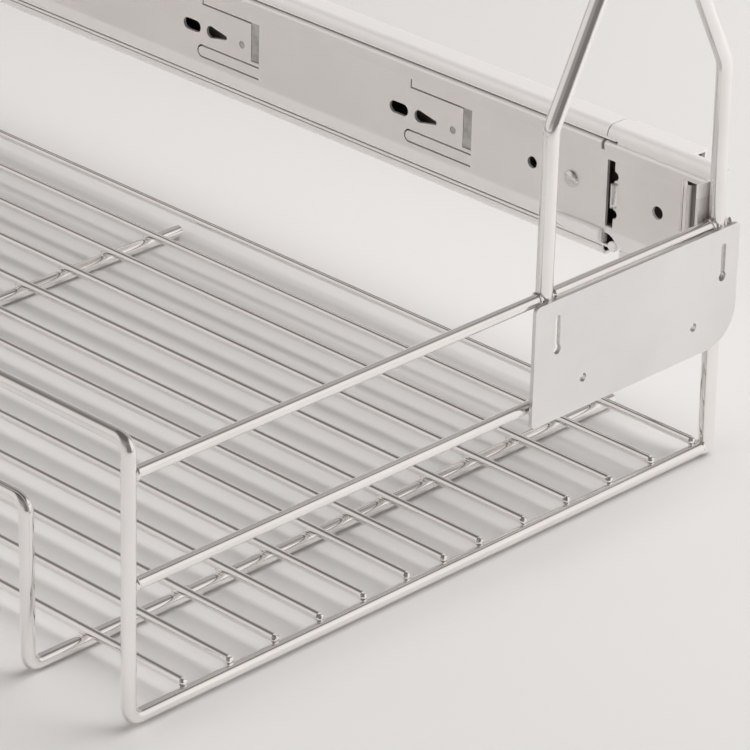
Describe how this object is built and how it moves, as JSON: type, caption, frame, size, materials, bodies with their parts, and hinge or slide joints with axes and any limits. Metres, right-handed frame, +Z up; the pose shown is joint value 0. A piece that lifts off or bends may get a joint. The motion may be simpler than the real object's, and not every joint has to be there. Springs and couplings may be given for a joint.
{
  "type": "pull-out wire basket",
  "caption": "Welded wire basket with a bail handle and a door plate, carried on one side by a full extension ball bearing slide that screws to a cabinet wall.",
  "frame": {"origin": "middle of the slide's row of screw holes, on the back face of the cabinet member, which lies against the cabinet's right wall", "axes": "+X into the cabinet's right wall, +Y back into the cabinet, +Z up; the basket pulls out along -Y"},
  "size_m": [0.2987, 0.531, 0.212],
  "materials": {
    "chromed_wire": "polished",
    "plate": "satin",
    "slide_steel": "satin",
    "cage_steel": "satin",
    "ball_steel": "polished",
    "bumper_plastic": "matte"
  },
  "bodies": {
    "rail": {"cabinet_member": "slide_steel", "rear_bumper": "bumper_plastic"},
    "basket": {"handle_wire": "chromed_wire", "front_frame_wire": "chromed_wire", "rear_frame_wire": "chromed_wire", "low_side_wire": "chromed_wire", "centre_crossbar": "chromed_wire", "front_top_rail": "chromed_wire", "front_top_rail_right": "chromed_wire", "front_mid_rail": "chromed_wire", "front_mid_rail_right": "chromed_wire", "rear_top_rail": "chromed_wire", "rear_mid_rail": "chromed_wire", "floor_wire_01": "chromed_wire", "floor_wire_02": "chromed_wire", "floor_wire_03": "chromed_wire", "floor_wire_04": "chromed_wire", "floor_wire_05": "chromed_wire", "floor_wire_06": "chromed_wire", "floor_wire_07": "chromed_wire", "floor_wire_08": "chromed_wire", "floor_wire_09": "chromed_wire", "floor_wire_10": "chromed_wire", "floor_wire_11": "chromed_wire", "floor_wire_12": "chromed_wire", "floor_wire_13": "chromed_wire", "front_plate": "plate", "front_bracket": "slide_steel", "rear_bracket": "slide_steel", "drawer_member": "slide_steel"},
    "intermediate": {"intermediate_member": "slide_steel"},
    "outer_cage": {"outer_ball_cage": "cage_steel", "outer_balls": "ball_steel"},
    "inner_cage": {"inner_ball_cage": "cage_steel", "inner_balls": "ball_steel"}
  },
  "joints": [
    {"name": "basket_slide", "type": "slide", "parent": "rail", "child": "basket", "axis": [0, -1, 0], "range_m": [0, 0.44]},
    {"name": "intermediate_slide", "type": "slide", "parent": "rail", "child": "intermediate", "axis": [0, -1, 0], "range_m": [0, 0.22]},
    {"name": "outer_cage_slide", "type": "slide", "parent": "rail", "child": "outer_cage", "axis": [0, -1, 0], "range_m": [0, 0.11]},
    {"name": "inner_cage_slide", "type": "slide", "parent": "rail", "child": "inner_cage", "axis": [0, -1, 0], "range_m": [0, 0.33]}
  ],
  "couplings": [
    {"joint": "intermediate_slide", "follows": "basket_slide", "ratio": 0.5},
    {"joint": "outer_cage_slide", "follows": "basket_slide", "ratio": 0.25},
    {"joint": "inner_cage_slide", "follows": "basket_slide", "ratio": 0.75}
  ]
}
